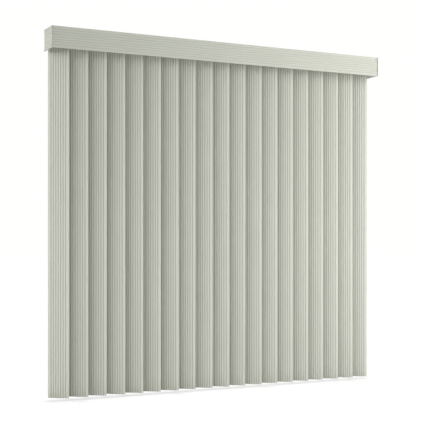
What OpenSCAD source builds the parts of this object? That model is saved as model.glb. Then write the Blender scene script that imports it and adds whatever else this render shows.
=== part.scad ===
// Vertical blind: ribbed vanes hung from carriers in a ceiling headrail, behind a ribbed valance.
// X runs along the headrail, -Y faces the room and +Z is up. The origin lies in the ceiling plane,
// over the middle of the row of vane stems.

/* [Vanes] */
// Number of vanes in the row
vane_count = 19; // [11:1:19]
// Distance from one vane stem to the next with the blind drawn
vane_pitch = 81; // [78:0.5:84]
// Width of a vane across its ribs
vane_width = 89; // [86:0.5:94]
// Wall of the ribbed strip
vane_wall = 0.9; // [0.7:0.1:1.1]
// Rise of the middle of a vane over its edges
vane_crown = 2; // [1:0.25:2.5]
// Height from the ceiling to the lower ends of the vanes
blind_drop = 1490; // [900:10:2200]
// Angle between a vane and the row, 90 being fully open
vane_tilt = 36; // [15:1:165]

/* [Ribs] */
// Grooves across a ribbed strip
groove_count = 7; // [5:1:7]
// Distance from one groove to the next
groove_pitch = 10.2; // [9:0.1:11]
// Width of a groove at the face
groove_mouth = 4.9; // [4:0.1:5.4]
// Width of a groove at its floor
groove_floor = 3.7; // [3:0.1:3.9]
// Depth of a groove
groove_depth = 1; // [0.5:0.1:1.2]

/* [Headrail] */
// Width of the headrail
rail_width = 45; // [44:0.5:50]
// Height of the headrail
rail_height = 30; // [30:0.5:34]
// Wall of the headrail
rail_wall = 1.4; // [1:0.1:1.8]
// Width of the slot along the underside
slot_width = 18; // [17:0.5:20]
// Length of rail past the outermost stem
rail_end = 31; // [29:1:50]
// Space between the ceiling and the headrail
rail_drop = 4; // [3.5:0.1:6]
// Reach of the ridges that the brackets hold
ridge_reach = 1.5; // [1.2:0.1:2]

/* [Carriers] */
// Length of a carrier along the rail
carrier_length = 16.6; // [15.6:0.1:18]
// Thickness of a carrier's runners
runner_thickness = 3; // [2:0.25:3.5]
// Length of neck below the headrail
neck_below = 3; // [2:0.5:5]
// Thickness of a spacer strap
strap_thickness = 0.4; // [0.3:0.05:0.5]
// Width of a spacer strap
strap_width = 6; // [4:0.5:6.5]

/* [Tilt drive] */
// Radius of the tilt rod
rod_radius = 3; // [2.6:0.1:3.2]
// Flutes along the tilt rod
rod_flutes = 8; // [6:1:10]
// Teeth of a stem gear
gear_teeth = 12; // [10:1:14]
// Outer radius of a stem gear
gear_radius = 5.2; // [4.6:0.1:5.4]
// Height of a stem gear
gear_height = 6; // [4:0.5:6.5]
// Radius of a vane stem
stem_radius = 2.4; // [2:0.1:2.8]
// Pockets round the chain sprocket
sprocket_pockets = 9; // [8:1:10]
// Outer radius of the chain sprocket
sprocket_radius = 8.8; // [8:0.1:9]
// Diameter of the beads of the chain
bead_diameter = 4.5; // [3.5:0.1:4.6]

/* [Ends] */
// Depth of an end cap along the rail
cap_depth = 16; // [15:0.5:22]
// Wall of an end cap
cap_wall = 2; // [1.6:0.1:2.4]
// Outer radius of a cord pulley
pulley_radius = 4.8; // [4.2:0.1:5]
// Width of a cord pulley
pulley_width = 4; // [3:0.25:4]

/* [Brackets] */
// Sheet of the brackets and clips
sheet = 1.2; // [1:0.1:1.5]
// Width of a ceiling bracket
bracket_width = 40; // [34:1:50]
// Distance between a bracket's two screw holes
bracket_hole_pitch = 22; // [18:1:26]
// Diameter of a bracket's screw holes
bracket_hole = 4.8; // [4:0.1:5.5]
// Distance from an end of the headrail to the outer bracket's middle
bracket_inset = 160; // [150:5:200]
// Width of a valance clip
clip_width = 20; // [14:1:26]
// Distance from an end of the headrail to the outer clip's middle
clip_inset = 100; // [60:5:110]

/* [Valance] */
// Height of the valance
valance_height = 86; // [80:1:94]
// Distance from the row of stems to the front of the valance
valance_reach = 87; // [70:1:110]
// Depth of the returns from the front of the valance
return_depth = 107; // [90:1:130]
// Space between an end cap and a return
return_gap = 3; // [2.5:0.5:10]
// Wall of the valance channel
channel_wall = 1.4; // [1:0.1:1.8]
// Height of the lips over the edges of an insert
lip_height = 3.6; // [2:0.2:5]
// Width of a corner piece's edge over the front
corner_edge = 2.6; // [2.4:0.1:4]
// Width of a corner piece's cover over a return
corner_cover = 10; // [9:0.5:14]
// Length of a corner piece's tongues
corner_tongue = 24; // [15:1:40]

/* [Hidden] */
// Clearances
slide_clearance = 0.4;
turn_clearance = 0.6;
bearing_clearance = 0.08;
seat_clearance = 0.3;
clip_clearance = 0.15;
cut = 1;
round_fn = 48;
port_fn = 12;

// Colours
sage = "#c3c5b8";
ivory = "#e9e7dd";
steel = "#b4b6b8";
aluminium = "#c9cbcc";
acetal = "#dcdad0";

// Row of stems
row_length = (vane_count - 1) * vane_pitch;
rail_half = row_length / 2 + rail_end;
stack_gap = 0.4;
stack_pitch = carrier_length + stack_gap;

// Heights of the headrail
rail_top = -rail_drop;
rail_bottom = rail_top - rail_height;
rail_ceiling = rail_top - rail_wall;
ledge_pad = 0.2;
ledge = rail_wall + ledge_pad;
ledge_top = rail_bottom + ledge;
port_radius = 3.2;
port_bore = 1.75;
port_inset = 4.7;
port_y = rail_width / 2 - port_inset;
port_z = rail_top - port_inset;

// Tilt rod section
flute_depth = 0.5;
flute_tip = 0.2;
flute_root = 0.32;

// Carrier block round the stem, the tilt rod and the straps
runner_bottom = ledge_top + slide_clearance;
runner_top = runner_bottom + runner_thickness;
runner_gap = 3;
runner_half = rail_width / 2 - rail_wall - runner_gap;
neck_bottom = rail_bottom - neck_below;
neck_gap = 1.5;
neck_half_y = slot_width / 2 - neck_gap;
neck_half_x = 6.5;
rod_bore = rod_radius + turn_clearance;
worm_wall = 0.7;
worm_radius = rod_bore + worm_wall;
worm_room = 1.5;
worm_half = 4.5;
mesh_gap = 0.5;
rod_y = gear_radius + worm_radius + mesh_gap;
housing_floor = 2.5;
rod_z = runner_top + worm_radius + worm_room + housing_floor;
gear_tooth = 1.4;
tooth_tip = 0.14;
tooth_root = 0.3;
gear_low = rod_z - gear_height / 2;
gear_high = rod_z + gear_height / 2;
pivot_radius = 1.8;
pivot_height = 1.6;
block_front_wall = 3.2;
block_front = -gear_radius - turn_clearance - block_front_wall;
block_back_wall = 1.5;
block_back = rod_y + worm_radius + worm_room + block_back_wall;
shoulder_wall = 0.6;
shoulder_z = rod_z + worm_radius + worm_room + shoulder_wall;
mast_back = 5;
strap_step = 0.7;
strap_start = 2;
strap_past = 4;
strap_end = vane_pitch + carrier_length / 2 + strap_past;
strap_layers = ceil((strap_end - strap_start) / stack_pitch);
strap_y = -3;
tunnel_side = 1;
tunnel_base = 1;
tunnel_floor = gear_high + pivot_height + turn_clearance + tunnel_base;
tunnel_headroom = 0.5;
tunnel_top = tunnel_floor + strap_layers * strap_step + tunnel_headroom;
tunnel_roof = 1.6;
block_top = tunnel_top + tunnel_roof;
anchor_length = 4;

// Stem hook and the vane that hangs on it
stem_below = 3;
collar_top = neck_bottom - stem_below;
collar_height = 2;
collar_flange = 1.6;
yoke_height = 4;
yoke_bottom = collar_top - collar_height - yoke_height;
yoke_gap = 1;
vane_top = yoke_bottom - yoke_gap;
vane_length = blind_drop + vane_top;
hook_half = 5;
prong = 1;
prong_length = 15;
hook_front = vane_crown + vane_wall / 2 + clip_clearance;
hook_back = vane_crown - groove_depth - vane_wall / 2 - clip_clearance;
punch_half = 6;
punch_height = 4.4;
punch_drop = 7;
punch_top = vane_top - punch_drop;
barb_half = 4;
barb_height = 2.4;

// End caps and what turns in them
cap_lip = 0.8;
cap_corner = 2.5;
cap_end = rail_half + cap_depth;
cap_width = rail_width + 2 * cap_lip;
cap_low = rail_bottom - cap_lip;
cap_high = rail_top + cap_lip;
cap_inner = cap_depth - cap_wall;
cap_inner_half = cap_width / 2 - cap_wall;
cap_inner_corner = 0.8;
boss_radius = 5;
boss_length = 3;
rod_end = cap_end - cap_wall - slide_clearance;
sprocket_width = 7;
sprocket_x = rod_end - boss_length - sprocket_width / 2 - slide_clearance;
pulley_pin = 1.5;
pulley_bore = pulley_pin + bearing_clearance;
pulley_groove = 1.2;
pulley_rim = 0.6;
pin_shoulder = 1;
pulley_x = rail_half + cap_inner / 2;
cord_gap = 1.6;
cord_rear_y = block_front - cord_gap;
cord_front_y = -(cap_inner_half - pulley_width / 2 - seat_clearance);
cord_z = rod_z;
cord_outlet = 2;
web_y = cord_rear_y + pulley_width / 2 + seat_clearance;
web_thickness = 1.5;
screw_radius = 1.5;
screw_hole = 1.8;
screw_head = 3;
screw_head_height = 1.8;
screw_length = 12;
spigot_length = 8;
spigot_root = 1.6;
spigot_wall = 2;
spigot_y = rail_width / 2 - rail_wall - seat_clearance;
spigot_gap = 2;
spigot_low = ledge_top + spigot_gap;
port_gap = 1;
spigot_high = port_z - port_radius - port_gap;
web_setback = 2;
chain_play = 2.5;
chain_slot = bead_diameter + chain_play;
sprocket_room = 0.8;
chain_slot_half = sprocket_radius + sprocket_room;
clamp_half = 4;
clamp_wall = 2;
cord_bore = 1;

// Brackets and clips on the ridges of the headrail
ridge_height = 1.6;
ridge_y = rail_width / 2 + ridge_reach;
hook_y = ridge_y + seat_clearance;
hook_z = rail_top - ridge_height - seat_clearance;
release_tab = 6;
clip_top = rail_top + seat_clearance + sheet;
clip_over_rail = 14;
clip_count = 4;
clip_span = rail_half - clip_inset;
bracket_spacing = rail_half - bracket_inset;

// Valance sections, measured inwards from its faces
valance_rise = 1;
valance_top = rail_top + valance_rise;
valance_bottom = valance_top - valance_height;
front_y = -valance_reach;
skin = 1.2;
channel_front = skin + clip_clearance;
channel_gap = groove_depth + vane_wall + seat_clearance;
channel_depth = 2 * channel_wall + channel_gap;
tongue_front = channel_front + channel_depth + clip_clearance;
tongue = 1.6;
post = tongue_front + tongue;
corner_round = 2;
valance_half = cap_end + return_gap + channel_front + channel_depth;
insert_height = valance_height - 2 * channel_wall - 2 * clip_clearance;
front_run = 2 * (valance_half - channel_front);
return_run = return_depth - post - clip_clearance;
shelf_drop = 9;
shelf = 5;
shelf_lip = 4;
shelf_setback = post + clip_clearance - channel_front;
tongue_gap = 4;
tongue_drop = shelf_drop + channel_wall + tongue_gap;

// Names of the repeated pieces
function two_digits(i) = i < 10 ? str("0", i) : str(i);
function vane_name(i) = str("vane_", two_digits(i));
function carrier_name(i) = str("carrier_", two_digits(i));
function stem_x(i) = (i - (vane_count + 1) / 2) * vane_pitch;

// Outline of a ribbed strip: a bent sheet of even wall with its grooves pressed into the front
function groove_points(c) = [
    [c - groove_mouth / 2, 0],
    [c - groove_floor / 2, -groove_depth],
    [c + groove_floor / 2, -groove_depth],
    [c + groove_mouth / 2, 0]
];
function groove_centre(k) = (k - (groove_count - 1) / 2) * groove_pitch;
function strip_line(width) = concat(
    [[-width / 2, 0]],
    [for (k = [0:groove_count - 1]) each groove_points(groove_centre(k))],
    [[width / 2, 0]]
);
function crowned(p, width, crown) = [p.x, p.y + crown * (1 - pow(2 * p.x / width, 2))];
function reversed(list) = [for (k = [len(list) - 1:-1:0]) list[k]];

// A ribbed strip standing along +Z, with its ribbed face towards -Y
module ribbed_strip(width, length, crown) {
    line = [for (p = strip_line(width)) crowned(p, width, crown)];
    front = [for (p = line) [p.x, -p.y - vane_wall / 2]];
    back = [for (p = line) [p.x, -p.y + vane_wall / 2]];
    linear_extrude(height = length) polygon(concat(front, reversed(back)));
}

// Extrudes a section drawn in Y and Z along +X
module along_x(length) {
    rotate([90, 0, 90]) linear_extrude(height = length) children();
}

// A cylinder along +X
module rod_x(radius, length) {
    rotate([0, 90, 0]) cylinder(r = radius, h = length, $fn = round_fn);
}

// A box between two corners
module box(low, high) {
    translate(low) cube(high - low);
}

// A rectangle with round corners, centred across Y
module rounded_outline(width, low, high, radius) {
    half = width / 2;
    translate([-half + radius, low]) square([width - 2 * radius, high - low]);
    translate([-half, low + radius]) square([width, high - low - 2 * radius]);
    for (y = [-half + radius, half - radius], z = [low + radius, high - radius])
        translate([y, z]) circle(r = radius, $fn = round_fn);
}

// Section of the headrail: a channel with a slotted floor, bracket ridges and screw ports
module headrail_section() {
    half = rail_width / 2;
    difference() {
        union() {
            translate([-half, rail_ceiling]) square([rail_width, rail_wall]);
            for (side = [0, 1]) mirror([side, 0]) {
                translate([half - rail_wall, rail_bottom]) square([rail_wall, rail_height]);
                translate([slot_width / 2, rail_bottom]) square([half - slot_width / 2, ledge]);
                translate([half - cut, rail_top - ridge_height])
                    square([ridge_reach + cut, ridge_height]);
                translate([port_y, port_z]) circle(r = port_radius, $fn = port_fn);
                translate([port_y, port_z]) square(port_inset);
            }
        }
        for (side = [0, 1]) mirror([side, 0]) {
            translate([port_y, port_z]) circle(r = port_bore, $fn = port_fn);
            translate([port_y - port_radius - cut, port_z - port_bore / 2])
                square([port_radius + cut, port_bore]);
        }
    }
}

module headrail() {
    color(ivory) translate([-rail_half, 0, 0]) along_x(2 * rail_half) headrail_section();
}

// Fluted section of the tilt rod, grown by a clearance for what is keyed on it
module rod_section(clearance) {
    step = 360 / rod_flutes;
    tip = rod_radius + clearance;
    root = tip - flute_depth;
    flute = [[tip, -flute_tip], [tip, flute_tip], [root, flute_root], [root, 1 - flute_root]];
    polygon([
        for (k = [0:rod_flutes - 1], p = flute)
            p[0] * [cos((k + p[1]) * step), sin((k + p[1]) * step)]
    ]);
}

module tilt_rod() {
    color(aluminium) translate([0, rod_y, rod_z]) {
        translate([-rod_end, 0, 0]) along_x(2 * rod_end) rod_section(0);
        for (side = [0, 1]) mirror([side, 0, 0])
            translate([rod_end - boss_length, 0, 0]) rod_x(rod_radius, boss_length);
    }
}

// Chain wheel with a round pocket for each bead
module chain_sprocket() {
    color(acetal) translate([-sprocket_x, rod_y, rod_z]) difference() {
        translate([-sprocket_width / 2, 0, 0]) rod_x(sprocket_radius, sprocket_width);
        translate([-sprocket_width / 2 - cut, 0, 0])
            along_x(sprocket_width + 2 * cut) rod_section(clip_clearance);
        for (k = [0:sprocket_pockets - 1])
            rotate([k * 360 / sprocket_pockets, 0, 0]) translate([0, 0, sprocket_radius])
                sphere(d = bead_diameter + seat_clearance, $fn = round_fn);
    }
}

// A grooved pulley on the Z axis, centred on its width
module pulley() {
    half = pulley_width / 2;
    rotate_extrude($fn = round_fn) polygon([
        [pulley_bore, -half],
        [pulley_radius, -half],
        [pulley_radius, -half + pulley_rim],
        [pulley_radius - pulley_groove, 0],
        [pulley_radius, half - pulley_rim],
        [pulley_radius, half],
        [pulley_bore, half]
    ]);
}

module guide_pulley(y) {
    color(acetal) translate([-pulley_x, y, cord_z - pulley_radius]) rotate([90, 0, 0]) pulley();
}

module return_pulley() {
    color(acetal) translate([pulley_x, (cord_front_y + cord_rear_y) / 2, cord_z]) pulley();
}

// Moulded end cap for the +X end: a shell open towards the rail, with bearing, bosses and spigots
module end_cap_shell() {
    translate([rail_half, 0, 0]) difference() {
        union() {
            difference() {
                along_x(cap_depth) rounded_outline(cap_width, cap_low, cap_high, cap_corner);
                translate([-cut, 0, 0]) along_x(cap_inner + cut) rounded_outline(
                    2 * cap_inner_half, cap_low + cap_wall, cap_high - cap_wall, cap_inner_corner
                );
            }
            translate([cap_inner - boss_length, rod_y, rod_z])
                rod_x(boss_radius, boss_length + cap_wall / 2);
            for (side = [0, 1]) mirror([0, side, 0]) {
                translate([0, port_y, port_z]) rod_x(port_radius, cap_depth);
                box(
                    [-spigot_length, spigot_y - spigot_wall, spigot_low],
                    [spigot_root, spigot_y, spigot_high]
                );
                box(
                    [0, spigot_y - spigot_wall, spigot_low],
                    [spigot_root, cap_inner_half + cap_wall / 2, spigot_high]
                );
            }
        }
        translate([-cut, rod_y, rod_z]) rod_x(rod_radius + bearing_clearance, cap_inner + cut);
        for (y = [-port_y, port_y])
            translate([-cut, y, port_z]) rod_x(screw_hole, cap_depth + 2 * cut);
    }
}

// Idle end: a standing pin carries the return pulley
module idle_end_cap() {
    color(ivory) {
        end_cap_shell();
        translate([pulley_x, (cord_front_y + cord_rear_y) / 2, 0]) {
            translate([0, 0, cap_low + cap_wall / 2])
                cylinder(r = pulley_pin, h = cap_high - cap_low - cap_wall, $fn = round_fn);
            pin_step = cord_z - pulley_width / 2 - seat_clearance;
            translate([0, 0, cap_low + cap_wall / 2]) cylinder(
                r = pulley_pin + pin_shoulder, h = pin_step - cap_low - cap_wall / 2, $fn = round_fn
            );
        }
    }
}

// Control end: a cross pin and its web carry the guide pulleys, and the floor lets chain and cords out
module control_end_cap() {
    color(ivory) mirror([1, 0, 0]) difference() {
        union() {
            end_cap_shell();
            translate([pulley_x, web_y + web_thickness, cord_z - pulley_radius]) rotate([90, 0, 0])
                cylinder(
                    r = pulley_pin,
                    h = web_y + web_thickness + cap_inner_half + cap_wall / 2,
                    $fn = round_fn
                );
            box(
                [rail_half + web_setback, web_y, cap_low + cap_wall / 2],
                [rail_half + cap_inner + cap_wall / 2, web_y + web_thickness, cord_z - pulley_pin]
            );
        }
        box(
            [sprocket_x - chain_slot / 2, rod_y - chain_slot_half, cap_low - cut],
            [sprocket_x + chain_slot / 2, rod_y + chain_slot_half, cap_low + cap_wall + cut]
        );
        for (y = [cord_front_y, cord_rear_y])
            translate([pulley_x + pulley_radius - pulley_groove / 2, y, cap_low - cut])
                cylinder(r = cord_outlet, h = cap_wall + 2 * cut, $fn = round_fn);
    }
}

// Pan-head screw along -X, with its head's seat at the origin
module cap_screw() {
    rod_x(screw_head, screw_head_height);
    translate([-screw_length - cap_depth, 0, 0])
        rod_x(screw_radius, screw_length + cap_depth + screw_head_height / 2);
}

module end_cap_screws() {
    color(steel) for (side = [0, 1], y = [-port_y, port_y]) mirror([side, 0, 0])
        translate([cap_end, y, port_z]) cap_screw();
}

// Section of a carrier across the rail: runners, worm housing and the mast over the straps
module carrier_section() {
    polygon([
        [-runner_half, runner_bottom],
        [runner_half, runner_bottom],
        [runner_half, runner_top],
        [block_back, runner_top],
        [block_back, shoulder_z],
        [mast_back, shoulder_z],
        [mast_back, block_top],
        [block_front, block_top],
        [block_front, runner_top],
        [-runner_half, runner_top]
    ]);
}

// Room in a carrier for the stem and its gear
module stem_room() {
    translate([0, 0, neck_bottom - cut]) cylinder(
        r = stem_radius + turn_clearance, h = gear_low - neck_bottom + cut, $fn = round_fn
    );
    translate([0, 0, gear_low - slide_clearance]) cylinder(
        r = gear_radius + turn_clearance, h = gear_height + 2 * slide_clearance, $fn = round_fn
    );
    translate([0, 0, gear_high]) cylinder(
        r = pivot_radius + turn_clearance, h = pivot_height + turn_clearance, $fn = round_fn
    );
}

// Room round the worm sleeve, which stays as the wall between this and the rod's bore
module worm_room_ring() {
    translate([-worm_half, rod_y, rod_z]) difference() {
        rod_x(worm_radius + worm_room, 2 * worm_half);
        translate([-cut, 0, 0]) rod_x(worm_radius, 2 * worm_half + 2 * cut);
    }
}

// Spacer strap towards the next carrier, on its own layer so that straps pass over each other
module spacer_strap(layer) {
    z = tunnel_floor + (layer + 0.5) * strap_step;
    half = strap_width / 2;
    anchor_half = half + tunnel_side + strap_thickness;
    box([strap_start, strap_y - half, z], [strap_end, strap_y + half, z + strap_thickness]);
    box(
        [strap_start, strap_y - anchor_half, z],
        [strap_start + anchor_length, strap_y + anchor_half, z + strap_thickness]
    );
}

// Lug on the lead carrier that grips the traverse cord
module cord_clamp() {
    difference() {
        box(
            [-clamp_half, cord_rear_y - clamp_wall, cord_z - clamp_half],
            [clamp_half, block_front + cut, cord_z + clamp_half]
        );
        translate([-clamp_half - cut, cord_rear_y, cord_z]) rod_x(cord_bore, 2 * clamp_half + 2 * cut);
    }
}

module carrier(i) {
    color(acetal) translate([stem_x(i), 0, 0]) {
        difference() {
            union() {
                translate([-carrier_length / 2, 0, 0]) along_x(carrier_length) carrier_section();
                box(
                    [-neck_half_x, -neck_half_y, neck_bottom],
                    [neck_half_x, neck_half_y, runner_bottom + runner_thickness / 2]
                );
            }
            stem_room();
            worm_room_ring();
            translate([-carrier_length / 2 - cut, rod_y, rod_z])
                rod_x(rod_bore, carrier_length + 2 * cut);
            box(
                [-carrier_length / 2 - cut, strap_y - strap_width / 2 - tunnel_side, tunnel_floor],
                [carrier_length / 2 + cut, strap_y + strap_width / 2 + tunnel_side, tunnel_top]
            );
        }
        if (i < vane_count) spacer_strap(i % strap_layers);
        if (i == vane_count) cord_clamp();
    }
}

// Straight-sided teeth of a stem gear
module gear_section() {
    step = 360 / gear_teeth;
    root = gear_radius - gear_tooth;
    tooth = [
        [gear_radius, -tooth_tip],
        [gear_radius, tooth_tip],
        [root, tooth_root],
        [root, 1 - tooth_root]
    ];
    polygon([
        for (k = [0:gear_teeth - 1], p = tooth)
            p[0] * [cos((k + p[1]) * step), sin((k + p[1]) * step)]
    ]);
}

// Stem with its gear and pivot on top and a two-pronged hook below
module stem() {
    translate([0, 0, gear_low]) linear_extrude(height = gear_height) gear_section();
    translate([0, 0, gear_high - cut])
        cylinder(r = pivot_radius, h = pivot_height + cut, $fn = round_fn);
    translate([0, 0, collar_top - collar_height])
        cylinder(r = stem_radius, h = gear_low - collar_top + collar_height + cut, $fn = round_fn);
    translate([0, 0, collar_top - collar_height - yoke_height / 2])
        cylinder(r = stem_radius + collar_flange, h = collar_height + yoke_height / 2, $fn = round_fn);
    prong_bottom = yoke_bottom - prong_length;
    box(
        [-hook_half, -hook_front - prong, yoke_bottom],
        [hook_half, prong - hook_back, yoke_bottom + yoke_height]
    );
    box([-hook_half, -hook_front - prong, prong_bottom], [hook_half, -hook_front, yoke_bottom + cut]);
    box([-hook_half, -hook_back, prong_bottom], [hook_half, prong - hook_back, yoke_bottom + cut]);
    box(
        [-barb_half, -hook_front - prong / 2, punch_top - clip_clearance - barb_height],
        [barb_half, -hook_back - clip_clearance, punch_top - clip_clearance]
    );
}

// Slot punched through the top of a vane for the hook's barb
module punched_slot() {
    radius = punch_height / 2;
    depth = 4 * vane_crown + 4 * groove_depth + 4 * vane_wall;
    translate([0, depth / 2, punch_top - radius]) rotate([90, 0, 0]) {
        translate([radius - punch_half, -radius, 0])
            cube([2 * (punch_half - radius), punch_height, depth]);
        for (x = [radius - punch_half, punch_half - radius])
            translate([x, 0, 0]) cylinder(r = radius, h = depth, $fn = port_fn);
    }
}

module vane(i) {
    color(sage) translate([stem_x(i), 0, 0]) rotate([0, 0, -vane_tilt]) {
        stem();
        difference() {
            translate([0, 0, -blind_drop]) ribbed_strip(vane_width, vane_length, vane_crown);
            punched_slot();
        }
    }
}

// Sheet hook round one ridge of the headrail, hanging from a plate whose top is at the given height
module ridge_hook(top) {
    translate([-hook_y - sheet, hook_z - sheet]) square([sheet, top - hook_z + sheet]);
    translate([-hook_y - sheet, hook_z - sheet]) square([ridge_reach + sheet, sheet]);
}

// Spring bracket screwed to the ceiling, hooked under both ridges, with a release tab at the back
module bracket(x) {
    color(steel) translate([x - bracket_width / 2, 0, 0]) difference() {
        along_x(bracket_width) {
            translate([-hook_y, -sheet]) square([2 * hook_y, sheet]);
            ridge_hook(0);
            mirror([1, 0]) ridge_hook(0);
            translate([hook_y, hook_z - sheet]) square([sheet + release_tab, sheet]);
        }
        for (side = [-1, 1])
            translate([(bracket_width + side * bracket_hole_pitch) / 2, 0, -sheet - cut])
                cylinder(d = bracket_hole, h = sheet + 2 * cut, $fn = round_fn);
    }
}

// Clip from the headrail's front ridge to the shelf on the back of the valance
module valance_clip(x) {
    tongue_y = front_y + channel_front + channel_depth + (shelf - channel_wall - sheet) / 2;
    tongue_z = valance_top - shelf_drop + seat_clearance;
    translate([x - clip_width / 2, 0, 0]) along_x(clip_width) {
        translate([tongue_y, clip_top - sheet])
            square([clip_over_rail - rail_width / 2 - tongue_y, sheet]);
        translate([tongue_y, tongue_z]) square([sheet, clip_top - tongue_z]);
        ridge_hook(clip_top);
    }
}

module valance_clips() {
    color(acetal) for (k = [0:clip_count - 1])
        valance_clip(clip_span * (2 * k / (clip_count - 1) - 1));
}

// Section of the valance channel: a web with lips over the edges of the insert
module channel_section() {
    translate([channel_depth - channel_wall, 0]) square([channel_wall, valance_height]);
    for (low = [0, valance_height - channel_wall])
        translate([0, low]) square([channel_depth, channel_wall]);
    for (low = [0, valance_height - lip_height])
        translate([0, low]) square([channel_wall, lip_height]);
}

// Section of the shelf on the back of the front channel, which rests on the clips
module shelf_section() {
    floor_z = valance_height - shelf_drop - channel_wall;
    translate([channel_depth - channel_wall, floor_z]) square([channel_wall + shelf, channel_wall]);
    translate([channel_depth + shelf - channel_wall, floor_z])
        square([channel_wall, channel_wall + shelf_lip]);
}

// Ribbed insert along +X, behind the lips of its channel
module insert_run(length) {
    translate([0, channel_wall + clip_clearance + vane_wall / 2, valance_height / 2])
        rotate([0, 90, 0]) ribbed_strip(insert_height, length, 0);
}

module at_front() {
    translate([-front_run / 2, front_y + channel_front, valance_bottom]) children();
}

module at_return(side) {
    mirror([side, 0, 0])
        translate([channel_front - valance_half, front_y + return_depth, valance_bottom])
            rotate([0, 0, -90]) children();
}

module valance_front_channel() {
    color(sage) at_front() {
        along_x(front_run) channel_section();
        translate([shelf_setback, 0, 0]) along_x(front_run - 2 * shelf_setback) shelf_section();
    }
}

module valance_front_insert() {
    color(sage) at_front() insert_run(front_run);
}

module valance_return_channel(side) {
    color(sage) at_return(side) along_x(return_run) channel_section();
}

module valance_return_insert(side) {
    color(sage) at_return(side) insert_run(return_run);
}

// Corner piece: a rounded edge over the channels' ends, and tongues behind the two channels
module valance_corner(side) {
    tongue_height = valance_height - tongue_drop;
    color(sage) mirror([side, 0, 0]) translate([-valance_half, front_y, valance_bottom]) {
        linear_extrude(height = valance_height) difference() {
            union() {
                square([corner_edge, skin]);
                square([skin, corner_cover]);
                translate([0, tongue_front]) square([post, tongue]);
            }
            difference() {
                translate([-cut, -cut]) square(corner_round + cut);
                translate([corner_round, corner_round]) circle(r = corner_round, $fn = round_fn);
            }
        }
        linear_extrude(height = tongue_height) {
            translate([tongue_front, tongue_front]) square([tongue + corner_tongue, tongue]);
            translate([tongue_front, tongue_front]) square([tongue, tongue + corner_tongue]);
        }
    }
}

headrail();
control_end_cap();
idle_end_cap();
end_cap_screws();
tilt_rod();
chain_sprocket();
guide_pulley(cord_front_y);  // cord_pulley_front
guide_pulley(cord_rear_y);  // cord_pulley_rear
return_pulley();
bracket(-bracket_spacing);  // bracket_left
bracket(0);  // bracket_centre
bracket(bracket_spacing);  // bracket_right
valance_clips();
valance_front_channel();
valance_front_insert();
valance_corner(0);  // valance_corner_left
valance_corner(1);  // valance_corner_right
valance_return_channel(0);  // valance_return_channel_left
valance_return_channel(1);  // valance_return_channel_right
valance_return_insert(0);  // valance_return_insert_left
valance_return_insert(1);  // valance_return_insert_right
for (i = [1:vane_count]) {
    carrier(i);
    vane(i);
}
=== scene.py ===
"""Looks of a vertical blind: ribbed vanes on carriers in a ceiling headrail, behind a ribbed valance.

All sizes are in metres in the part's own frame: X along the headrail, -Y towards the room and +Z up,
with the origin in the ceiling plane over the middle of the row of stems.
"""

from __future__ import annotations

import logging
import math
from dataclasses import dataclass, field
from enum import Enum
from typing import Any, Callable, Iterable

import bmesh
import bpy
from mathutils import Matrix, Vector

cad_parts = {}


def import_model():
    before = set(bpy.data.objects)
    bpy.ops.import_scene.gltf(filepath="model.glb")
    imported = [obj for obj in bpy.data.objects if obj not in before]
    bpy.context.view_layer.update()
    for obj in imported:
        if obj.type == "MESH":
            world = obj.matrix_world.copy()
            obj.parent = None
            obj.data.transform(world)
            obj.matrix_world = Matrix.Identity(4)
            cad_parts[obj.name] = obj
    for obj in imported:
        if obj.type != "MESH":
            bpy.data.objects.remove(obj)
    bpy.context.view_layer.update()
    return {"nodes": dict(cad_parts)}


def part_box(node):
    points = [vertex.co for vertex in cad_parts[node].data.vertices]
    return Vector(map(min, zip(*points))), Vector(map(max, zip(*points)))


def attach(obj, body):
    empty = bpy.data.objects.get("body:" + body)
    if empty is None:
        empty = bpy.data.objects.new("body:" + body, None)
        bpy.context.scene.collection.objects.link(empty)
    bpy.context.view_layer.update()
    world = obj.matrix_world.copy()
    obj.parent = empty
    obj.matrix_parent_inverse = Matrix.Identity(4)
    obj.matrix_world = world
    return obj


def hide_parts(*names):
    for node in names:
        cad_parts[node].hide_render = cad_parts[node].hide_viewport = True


log = logging.getLogger("vertical_blind")

MM = 0.001
STRIP_MAP = "strip"

Span = tuple[float, float]
Colour = tuple[float, float, float]
Point = tuple[float, float, float]
FaceTest = Callable[[Vector, Vector], bool]
EdgeTest = Callable[[Vector, Vector], bool]

# Grooves that the vanes and the valance share
GROOVE_COUNT = 7
GROOVE_PITCH = 10.2 * MM
GROOVE_MOUTH = 4.9 * MM
GROOVE_FLOOR = 3.7 * MM

# Half the length of a carrier, with a hair to spare that keeps its end faces plastic
CARRIER_HALF = 8.4 * MM

# Distances below which corners count as one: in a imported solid, in a modelled piece and in a test
WELD_DISTANCE = 0.01 * MM
SLIVER = 0.03 * MM
NEAR = 0.001 * MM

# Off every plane of symmetry of the modelled pieces, so that no two corners are equally far from it
ORDER_POINT: Point = (0.0131, 0.0173, 0.0517)

# Part of a unit normal past which a face looks along an axis
FACING = 0.9

# Angle in degrees below which an edge is shaded smooth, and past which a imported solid's edge is rounded
SMOOTH_ANGLE = 35.0

# Steps in a rounded edge
EDGE_STEPS = 2

# Whole range of a pattern, and the range that most of a noise lies in
WHOLE: Span = (0.0, 1.0)
MIDDLE: Span = (0.3, 0.7)

# Colour of the light from the room's walls and of the floor's glow
ROOM_WHITE = (1.0, 1.0, 0.995, 1.0)


class Slot(Enum):
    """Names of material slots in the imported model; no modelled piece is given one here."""

    RIBBED = "sage_ribbed"
    ACETAL = "white_acetal"
    ALUMINIUM = "bare_aluminium"
    ZINC = "zinc_steel"


class Run(Enum):
    """Axis that an extruded, drawn or rolled piece ran along when it was made."""

    X = (1.0, 0.0, 0.0)
    Y = (0.0, 1.0, 0.0)
    Z = (0.0, 0.0, 1.0)


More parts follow.
